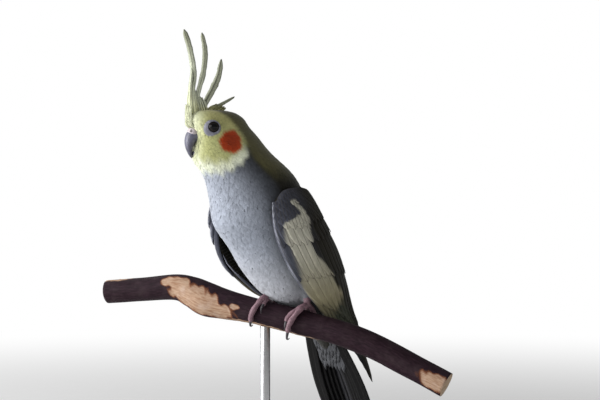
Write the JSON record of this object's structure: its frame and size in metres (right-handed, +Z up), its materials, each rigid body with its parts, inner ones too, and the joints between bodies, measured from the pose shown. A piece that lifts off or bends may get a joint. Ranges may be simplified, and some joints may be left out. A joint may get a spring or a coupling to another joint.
{
  "type": "cockatiel on a perch, still life-size model",
  "caption": "Small crested parrot gripping a short cut branch, held on a plain oval display stand by one slim rod, as a museum shows it.",
  "frame": {"origin": "middle of the stand base's underside, on the surface that the stand rests on", "axes": "+Z up; the bird's breast faces -Y and its left side is towards +X; the branch rises to the bird's right"},
  "size_m": [0.1978, 0.174, 0.3125],
  "materials": {
    "grey_plumage": "soft matt body feathers, blue grey on the breast and brown grey on the back",
    "yellow_plumage": "soft matt face and crest feathers, pale yellow with an orange ear patch",
    "wing_plumage": "satin flight feathers and coverts, charcoal with a cream white patch",
    "tail_plumage": "satin long tail feathers, near black below and grey above",
    "bill_horn": "smooth grey horn with a soft shine",
    "claw_horn": "dark smooth horn",
    "foot_skin": "scaly pinkish grey skin",
    "eye_gloss": "wet, glossy, near black",
    "bark": "smooth dark purple brown bark with bare pale wood where it is chewed away",
    "base_coat": "fine matt black powder coat on steel plate",
    "rod_steel": "satin steel"
  },
  "bodies": {
    "root": {"torso": "grey_plumage", "neck": "grey_plumage", "head": "yellow_plumage", "crest": "yellow_plumage", "bill_upper": "bill_horn", "bill_lower": "bill_horn", "eye_left": "eye_gloss", "eye_right": "eye_gloss", "wing_left": "wing_plumage", "wing_right": "wing_plumage", "tail": "tail_plumage", "leg_left": "grey_plumage", "leg_right": "grey_plumage", "foot_left": "foot_skin", "foot_right": "foot_skin", "claw_left_1": "claw_horn", "claw_left_2": "claw_horn", "claw_left_3": "claw_horn", "claw_left_4": "claw_horn", "claw_right_1": "claw_horn", "claw_right_2": "claw_horn", "claw_right_3": "claw_horn", "claw_right_4": "claw_horn", "perch_branch": "bark", "stand_base": "base_coat", "stand_rod": "rod_steel"}
  },
  "joints": []
}
